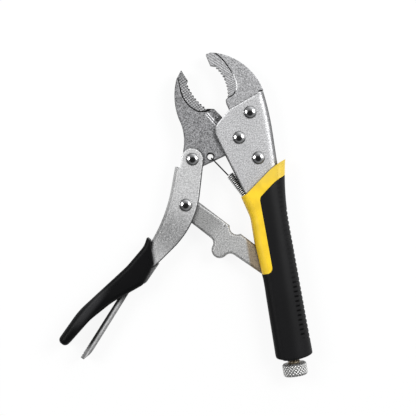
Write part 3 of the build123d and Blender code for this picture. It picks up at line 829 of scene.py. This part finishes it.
# %% [markdown]
# ## Domed rivets
# Each rivet is a pin with a low polished dome at both ends, on a narrow upright rim whose rounded corner
# gives the dark ring round each head. The profile is a quarter of an ellipse on that rim, mirrored for
# the far end and turned on the rivet's own line.

# %% rivets
rivet_bodies = {
    "jaw_rivet_upper": "frame",
    "jaw_rivet_lower": "frame",
    "jaw_pivot_rivet": "frame",
    "handle_pivot_rivet": "handle",
    "link_pivot_rivet": "handle",
}
shank_radius = 3.0 * MM
rim_height = 0.5 * MM
dome_height = 1.7 * MM
rim_round = 0.25 * MM
dome_steps = 14
crown_share = 0.25
rim_steps = 4
rivet_sides = 64
rivet_crease = 40


def rivet_profile(head_radius, half_length):
    """Radius and height along the upper half of a rivet, from crown to middle."""
    rim = half_length - dome_height
    half = []
    for step in range(dome_steps):
        angle = (step + crown_share) / dome_steps * pi / 2
        half.append(((head_radius - rim_round) * sin(angle), rim + dome_height * cos(angle)))
    for step in range(rim_steps + 1):
        angle = step / rim_steps * pi / 2
        half.append((head_radius - rim_round * (1 - sin(angle)), rim - rim_round * (1 - cos(angle))))
    half.append((head_radius, rim - rim_height))
    half.append((shank_radius, rim - rim_height))
    return half


def turned_rings(profile, centre):
    """Rings of a profile turned on the upright line through a centre."""
    angles = [2 * pi * step / rivet_sides for step in range(rivet_sides)]
    rings = []
    for radius, height in profile:
        ring = [Vector((radius * cos(angle), radius * sin(angle), height)) for angle in angles]
        rings.append([centre + point for point in ring])
    return rings


for name, body in rivet_bodies.items():
    low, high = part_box(name)
    head = (high[0] - low[0]) / 2
    upper = rivet_profile(head, (high[2] - low[2]) / 2)
    profile = upper + [(radius, -height) for radius, height in reversed(upper)]
    skin = ring_skin(turned_rings(profile, middle(name)))
    new_piece(name + "_domed", *skin, "bright_steel", body, name, crease=rivet_crease)
    print(f"{name}: head {2 * head / MM:.1f} mm across")

# %% [markdown]
# ## The wound return spring
# A coil of hard wire pulls the jaw open. Its leg dips into a hole in the moving jaw, and its tail hooks
# over a tab inside the fixed handle. The coil is a formula, the ends are straight runs with rounded
# corners, and one round section is carried along it all without twisting.

# %% wire
wire_radius = 0.52 * MM
wire_sides = 14
coil_radius = 2.5 * MM
coil_pitch = 1.42 * MM
coil_turns = 16
coil_steps = 28
corner_steps = 6
coil_top = Vector((*mm(-25.2, 78.3), mid_z))
coil_way = Vector((0.474, -0.880, 0)).normalized()
coil_side = Vector((-coil_way.y, coil_way.x, 0))


def rounded_run(corners, radius):
    """Corners joined by straight runs, with inner corners rounded by about a radius."""
    line = [corners[0]]
    for before, corner, after in zip(corners, corners[1:], corners[2:]):
        back = (before - corner).normalized()
        ahead = (after - corner).normalized()
        reach = min(radius, (before - corner).length / 2, (after - corner).length / 2)
        for step in range(corner_steps + 1):
            share = step / corner_steps
            line.append(corner + back * reach * (1 - share) ** 2 + ahead * reach * share**2)
    return line + [corners[-1]]


def wire_rings(line):
    """Rings of a round section carried along a line without twist."""
    angles = [2 * pi * step / wire_sides for step in range(wire_sides)]
    side = Vector((1, 0, 0))
    rings = []
    for index, point in enumerate(line):
        way = (line[min(index + 1, len(line) - 1)] - line[max(index - 1, 0)]).normalized()
        side = (side - way * side.dot(way)).normalized()
        across = way.cross(side)
        rings.append([point + wire_radius * (side * cos(angle) + across * sin(angle)) for angle in angles])
    return rings


def coil_point(turn):
    """Centre of the wire after a number of turns."""
    angle = 2 * pi * turn
    around = coil_side * sin(angle) + up * cos(angle)
    return coil_top + coil_way * (coil_pitch * turn) + coil_radius * around


coil = [coil_point(step / coil_steps) for step in range(coil_turns * coil_steps + 1)]
print(f"coil: {coil_turns} turns, {len(coil)} points")

# %% spring, wound and hooked
hook_place = Vector((*mm(-36.99, 92.78), mid_z))
hook_drop = 3.0 * MM
leg_rise = 6.05 * MM
tab_place = Vector((*mm(-6.25, 41.12), mid_z))
tab_hook_radius = 2.25 * MM
hook_steps = 14
tail_bend = 1.3 * MM
tail_end_run = 2.0 * MM
crown_from = 0.18 * MM
crown_lead = 0.4 * MM

leg_bend = coil[0] - (coil[1] - coil[0]).normalized() * tail_bend
leg = rounded_run([hook_place - up * hook_drop, hook_place + up * leg_rise, leg_bend, coil[0]], tail_bend)
tail_line = tab_place + coil_side * tab_hook_radius
tail_line.z = coil[-1].z
tail_start = tail_line + coil_way * ((coil[-1] - tail_line).dot(coil_way) + 2 * tail_bend)
hook_centre = Vector((tab_place.x, tab_place.y, tail_line.z))
hook_arc = []
for step in range(hook_steps + 1):
    angle = pi * step / hook_steps
    around = coil_side * cos(angle) + coil_way * sin(angle)
    hook_arc.append(hook_centre + around * tab_hook_radius)
tail_turn = coil[-1] + (coil[-1] - coil[-2]).normalized() * tail_bend
tail = rounded_run([coil[-1], tail_turn, tail_start, hook_arc[0]], tail_bend)
wire = leg[:-1] + coil + tail[1:-1] + hook_arc + [hook_arc[-1] - coil_way * tail_end_run]
spring = new_piece("wound_spring", *ring_skin(wire_rings(wire)), "spring_steel", None, "return_spring")

# Share of each point on the crown of a turn; coil_shadow paints shade on the rest.
crown = spring.data.attributes.new("crown", "FLOAT", "POINT")
for point, mark in zip(spring.data.vertices, crown.data):
    away = point.co - coil_top
    along = away.dot(coil_way)
    rise = (away - coil_way * along).length - coil_radius
    in_coil = -crown_lead < along < coil_pitch * coil_turns
    mark.value = min(1, max(0, (rise - crown_from) / (wire_radius - crown_from))) if in_coil else 0
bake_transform(spring)
print(f"spring: {len(wire)} rings")

# %% [markdown]
# ## The knurled adjusting screw
# The screw is turned from one bar: a long threaded shank and a head rolled with a diamond knurl. Both
# patterns are heights over an unrolled cylinder. A thread is a wave that climbs one pitch a turn. A
# diamond knurl is two such waves that climb opposite ways, the lower of them leaving little pyramids.
# Real geometry is chosen over bump, because the knurl shows in the outline.

# %% screw shapes
screw_low, screw_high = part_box("adjusting_screw")
screw_line = middle("adjusting_screw")
head_radius = (screw_high[0] - screw_low[0]) / 2
thread_pitch = 1.75 * MM
thread_radius = 4.95 * MM
thread_depth = 0.85 * MM
thread_rows = 6
thread_steep = 1.4
tip_chamfer = 1.5 * MM
head_length = 9.6 * MM
head_chamfer = 1.2 * MM
knurl_count = 22
knurl_depth = 0.6 * MM
knurl_steep = 2.4
knurl_rows = 44
knurl_lead = 2 * pi * head_radius / knurl_count
screw_sides = 220
screw_crease = 35


def wave(turns):
    """Triangle wave of one per turn, 0 at its foot and 1 at its peak."""
    return 1 - abs(2 * (turns % 1) - 1)


def screw_ring(y, radius_at):
    """Ring across the screw, its radius a function of the share of a turn."""
    ring = []
    for step in range(screw_sides):
        share = step / screw_sides
        radius = radius_at(share)
        angle = 2 * pi * share
        ring.append(Vector((screw_line.x + radius * cos(angle), y, screw_line.z + radius * sin(angle))))
    return ring


def knurl_radius(y, share):
    """Radius of the knurled head at a height and a share of a turn."""
    along = y / knurl_lead
    around = share * knurl_count
    peak = min(1, knurl_steep * wave(around + along), knurl_steep * wave(around - along))
    return head_radius - knurl_depth * (1 - peak)


print(f"knurl: {knurl_count} diamonds around, {knurl_lead / MM:.2f} mm apart")

# %% screw
tip_y = screw_high[1]
head_end = screw_low[1]
head_top = head_end + head_length
row_step = thread_pitch / thread_rows
rings = []
for row in range(int((tip_y - head_top) / row_step) + 1):
    y = tip_y - row * row_step
    most = thread_radius - max(0, tip_chamfer - (tip_y - y))
    rings.append(screw_ring(
        y, lambda share: most - thread_depth * min(1, thread_steep * wave(y / thread_pitch - share))))
rings.append(screw_ring(head_top, lambda share: thread_radius - thread_depth))
rings.append(screw_ring(head_top, lambda share: head_radius - head_chamfer))
for row in range(knurl_rows + 1):
    y = head_top - head_chamfer - row * (head_length - 2 * head_chamfer) / knurl_rows
    rings.append(screw_ring(y, lambda share: knurl_radius(y, share)))
rings.append(screw_ring(head_end, lambda share: head_radius - head_chamfer))
new_piece("knurled_screw", *ring_skin(rings), "bright_steel", "adjuster", "adjusting_screw",
          finish=screw_steel, crease=screw_crease)
print(f"screw: {len(rings)} rings of {screw_sides} points")

# %% [markdown]
# ## Hatched tooth bands
# Beside the teeth both jaws have a sunk band with a hatched floor: crossed ridges on the moving jaw,
# slanted ridges on the fixed one. Bump alone would vanish at the teeth, so the hatch is a thin slab of
# its own. Its outline is read from the jaw's sunk floor, a fine grid fills it, and each grid point rises
# by a wave. Along the wall of the band the wave dies away, which leaves the dark border groove. The
# moving jaw's tooth tips get painted shade, by a share stored in the points. Flat places here are in
# millimetres.

# %% floor of a band
keys_per_mm = 100
level_slack = 0.01 * MM
wall_rise = 0.05 * MM


def corner_key(point):
    """A corner's place in hundredths of a millimetre, equal for corners that meet."""
    return tuple(round(part / MM * keys_per_mm) for part in point)


def flat_mm(key):
    """A corner's place in the tool's plane, in mm."""
    return Vector((key[0] / keys_per_mm, key[1] / keys_per_mm))


def neighbours(corners):
    """Pairs of neighbouring corners of a face."""
    return zip(corners, corners[1:] + corners[:1])


def band_floor(node, side):
    """Faces of a sunk floor, its borders and those borders that are walls, as keys."""
    mesh = nodes[node].data
    level = mid_z + side * (jaw_half - band_sink)
    floor_faces, users = [], {}
    for face in mesh.polygons:
        corners = [mesh.vertices[index].co for index in face.vertices]
        is_floor = all(abs(corner.z - level) < level_slack for corner in corners)
        keys = [corner_key(corner) for corner in corners]
        if is_floor:
            floor_faces.append(keys)
        for pair in neighbours(keys):
            users.setdefault(frozenset(pair), []).append((is_floor, side * (face.center.z - level)))
    borders, walls = [], []
    for edge, faces in users.items():
        if len(edge) == 2 and [is_floor for is_floor, rise in faces].count(True) == 1:
            borders.append(tuple(edge))
            if any(not is_floor and rise > wall_rise for is_floor, rise in faces):
                walls.append(tuple(edge))
    return floor_faces, borders, walls


print(len(band_floor("fixed_jaw", 1)[0]), "floor faces on the fixed jaw")

# %% hatch waves
fan_centre = Vector((46.5, 101.3))
fan_step = 1.04
cross_pitch = 1.7
cross_steep = 1.7
cross_turns = (radians(-59), radians(26))


def fixed_wave(point):
    """Slanted ridges that fan out along the fixed jaw."""
    arm = point - fan_centre
    return wave(degrees(atan2(arm.y, arm.x)) / fan_step)


def moving_wave(point):
    """Little pyramids between two families of crossing grooves."""
    runs = [point.x * sin(turn) - point.y * cos(turn) for turn in cross_turns]
    return min(1, cross_steep * min(wave(run / cross_pitch) for run in runs))


def line_distance(point, lines):
    """Distance in mm to the nearest of some short lines."""
    gaps = []
    for first, second in lines:
        share = min(1, max(0, intersect_point_line(point, first, second)[1]))
        gaps.append((first + (second - first) * share - point).length)
    return min(gaps)


print(f"crossed ridges {cross_pitch} mm apart")

# %% grid of a band
hatch_grid = 0.26
edge_room = 0.1
touching = 1e-4
weld = 1e-5


def hatch_grid_on(floor_faces, borders):
    """Flat points and triangles that fill a floor with a fine staggered grid."""
    border_lines = [(flat_mm(first), flat_mm(second)) for first, second in borders]
    keys = sorted({key for edge in borders for key in edge})
    number = {key: index for index, key in enumerate(keys)}
    flat = [flat_mm(key) for key in keys]
    corners, faces = [], []
    for face in floor_faces:
        faces.append(tuple(range(len(corners), len(corners) + len(face))))
        corners += [flat_mm(key).to_3d() for key in face]
    inside = BVHTree.FromPolygons(corners, faces)
    low = Vector([min(axis) for axis in zip(*flat)])
    high = Vector([max(axis) for axis in zip(*flat)])
    for column in range(floor((high.x - low.x) / hatch_grid) + 1):
        for row in range(floor((high.y - low.y) / hatch_grid) + 1):
            point = low + Vector(((column + 0.5 * (row % 2)) * hatch_grid, row * hatch_grid))
            gap = inside.find_nearest(point.to_3d())[3]
            if gap < touching and line_distance(point, border_lines) > edge_room:
                flat.append(point)
    edges = [(number[first], number[second]) for first, second in borders]
    points, edges, triangles = delaunay_2d_cdt(flat, edges, [], 1, weld)[:3]
    return points, triangles


print(f"hatch grid of {hatch_grid} mm")

# %% hatched slabs
hatch_rise = 0.24
hatch_root = 0.05
hatch_sink = 0.03
wall_groove = 0.75
hatch_crease = 30


def slab_faces(triangles, count):
    """Faces of a closed slab: triangles on top and below, and a skirt along the border."""
    skirt = {}
    for triangle in triangles:
        for pair in neighbours(triangle):
            key = frozenset(pair)
            skirt[key] = None if key in skirt else pair
    faces = [tuple(triangle) for triangle in triangles]
    faces += [tuple(index + count for index in reversed(triangle)) for triangle in triangles]
    for first, second in filter(None, skirt.values()):
        faces.append((second, first, first + count, second + count))
    return faces


def hatch_slab(name, node, body, side, wave_at):
    """Closed thin slab on a band's floor, its top raised by a wave."""
    floor_faces, borders, walls = band_floor(node, side)
    wall_lines = [(flat_mm(first), flat_mm(second)) for first, second in walls]
    flat, triangles = hatch_grid_on(floor_faces, borders)
    level = mid_z + side * (jaw_half - band_sink)
    tops, roots = [], []
    for point in flat:
        free = min(1, line_distance(point, wall_lines) / wall_groove)
        rise = hatch_root + hatch_rise * wave_at(point) * free * free * (3 - 2 * free)
        tops.append((point.x * MM, point.y * MM, level + side * rise * MM))
        roots.append((point.x * MM, point.y * MM, level - side * hatch_sink * MM))
    print(f"{name}: {len(triangles)} triangles on top")
    return new_piece(name, tops + roots, slab_faces(triangles, len(flat)), "jaw_steel", body, None,
                     finish=hatched[node], crease=hatch_crease)


print(f"hatch ridges rise {hatch_rise} mm")

# %% dark tooth tips
tip_turn = 0.1
# Reach of the painted shade round each tooth tip, in mm.
tip_dark = 0.8
tip_fade = 0.45


def tooth_tips(node, side):
    """Places where the free border of a floor turns outwards, at the tips of its teeth."""
    floor_faces, borders, walls = band_floor(node, side)
    free = {frozenset(edge) for edge in borders} - {frozenset(edge) for edge in walls}
    after = {}
    for keys in floor_faces:
        for first, second in neighbours(keys):
            if frozenset((first, second)) in free:
                after[first] = second
    tips = []
    for first, corner in after.items():
        if corner in after:
            coming = flat_mm(corner) - flat_mm(first)
            leaving = flat_mm(after[corner]) - flat_mm(corner)
            turn = side * (coming.x * leaving.y - coming.y * leaving.x)
            if turn > tip_turn * coming.length * leaving.length:
                tips.append(flat_mm(corner))
    return tips


def mark_tips(piece, tips):
    """Stores in each point of a band how near it lies to the tip of a tooth."""
    marks = piece.data.attributes.new("tip", "FLOAT", "POINT")
    for point, mark in zip(piece.data.vertices, marks.data):
        place = Vector((point.co.x / MM, point.co.y / MM))
        gap = min((place - tip).length for tip in tips)
        mark.value = 1 - min(1, max(0, (gap - tip_dark) / tip_fade))


for side, label in ((1, "upper"), (-1, "lower")):
    hatch_slab(f"fixed_hatch_{label}", "fixed_jaw", "frame", side, fixed_wave)
    moving_hatch = hatch_slab(f"moving_hatch_{label}", "moving_jaw", "jaw", side, moving_wave)
    mark_tips(moving_hatch, tooth_tips("moving_jaw", side))

# %% [markdown]
# ## Soft grips
# The black cover and the dipped sleeve are soft, so none of their edges is crisp. Their solids are
# remeshed into a fine even skin, which is then relaxed: corners melt a little, ribs get round shoulders,
# and the sleeve looks dipped. Bevels would be another way, but a melted skin needs no list of edges.
# Thinning afterwards keeps the faces where the shape turns.

# %% soft skins
weld_gap = 0.002 * MM
kept_share = 0.35


def soft_skin(name, node, slot, body, cell, relax):
    """Soft copy of a solid: voxel skin, relaxed and thinned."""
    piece = bpy.data.objects.new(name, nodes[node].data.copy())
    scene.collection.objects.link(piece)
    welded = bmesh.new()
    welded.from_mesh(piece.data)
    bmesh.ops.remove_doubles(welded, verts=welded.verts, dist=weld_gap)
    welded.to_mesh(piece.data)
    welded.free()
    remesh = piece.modifiers.new("skin", "REMESH")
    remesh.mode = "VOXEL"
    remesh.voxel_size = cell
    smooth = piece.modifiers.new("relax", "SMOOTH")
    smooth.iterations = relax
    thin = piece.modifiers.new("thin", "DECIMATE")
    thin.ratio = kept_share
    skin = bpy.data.meshes.new_from_object(piece.evaluated_get(bpy.context.evaluated_depsgraph_get()))
    piece.modifiers.clear()
    piece.data = skin
    skin.name = name
    skin.shade_smooth()
    skin.materials.clear()
    skin.materials.append(finishes[slot])
    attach(piece, body)
    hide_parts(node)
    print(f"{name}: {len(skin.polygons)} faces")


soft_skin("black_cover_skin", "fixed_grip_cover", "black_rubber", "frame", 0.45 * MM, 3)
soft_skin("dipped_sleeve_skin", "moving_grip", "black_vinyl", "handle", 0.5 * MM, 4)

# %% [markdown]
# ## White table and soft boxes
# The ground is pure white with a faint shadow. The table is white, and rays that are seen straight or
# mirrored also meet a share of plain white light in it, so it reads white while the shadow stays. Two
# soft boxes stand left and right. The room is grey, paler on the far right and dark overhead, which
# gives the polished domes their dark middles.

# %% table
table_half = 0.9
white_share = 0.9
table_turns = ((-1, -1), (1, -1), (1, 1), (-1, 1))
table_mesh = bpy.data.meshes.new("table")
table_mesh.from_pydata([(x * table_half, y * table_half, 0) for x, y in table_turns], [], [(0, 1, 2, 3)])
table = bpy.data.objects.new("table", table_mesh)
scene.collection.objects.link(table)

material, tree = new_tree("white_table")
paper = tree.node("BsdfDiffuse", {}, {"Color": grey(0.9)})
glow = tree.node("Emission", {}, {"Color": white, "Strength": 1.0})
camera_ray, glossy_ray, through_ray = (tree.node("LightPath", output=ray) for ray in (0, 3, 6))
seen = (camera_ray + glossy_ray + through_ray).clamped() * white_share
tree.finish(tree.node("MixShader", {}, {0: seen, 1: paper, 2: glow}))
table_mesh.materials.append(material)
print(f"table of {2 * table_half} m laid")

# %% room
room_level = 0.38
far_right_glow = 1.10
near_left_shade = 0.22
overhead_shade = 0.92
world = bpy.data.worlds.new("studio")
scene.world = world
world.use_nodes = True
room = Tree(world.node_tree)


def towards(way, far, near):
    """Mask around a direction: 0 beyond the far angle, 1 within the near one, in degrees."""
    lean = room.dot(room.node("TexCoord", output=0), way.normalized())
    return lean.ramp(cos(radians(far)), cos(radians(near)))


level = room_level + far_right_glow * towards(0.8 * picture_right + 0.8 * picture_up, 80, 20)
level = level - near_left_shade * towards(-0.9 * picture_right - 0.6 * picture_up, 85, 25)
level = level * (1 - overhead_shade * towards(up - 0.12 * picture_up, 33, 16))
walls_seen = room.node("Background", {}, {"Color": (0.99, 1.0, 1.02, 1), "Strength": level})
clear = room.node("Background", {}, {"Color": white, "Strength": 1.0})
camera_ray = room.node("LightPath", output=0)
surface = room.node("MixShader", {}, {0: camera_ray, 1: walls_seen, 2: clear})
room.node("OutputWorld", {}, {"Surface": surface})
print("room lit")

# %% lamps
box_size = 0.50
box_glow = 9


def soft_box(name, right, ahead, above):
    """Round lamp of even radiance that faces the middle of the tool."""
    lamp = bpy.data.lights.new(name, "AREA")
    lamp.shape = "DISK"
    lamp.size = box_size
    lamp.energy = box_glow * pi * pi * (box_size / 2) ** 2
    box = bpy.data.objects.new(name, lamp)
    box.location = view_centre + picture_right * right + picture_up * ahead + up * above
    box.rotation_euler = (view_centre - box.location).to_track_quat("-Z", "Y").to_euler()
    scene.collection.objects.link(box)
    print(f"{name}: {lamp.energy:.2f} W")


soft_box("left_box", -0.62, 0.18, 0.80)
soft_box("right_box", 0.60, 0.30, 0.80)

# %% end
print("lamps placed")
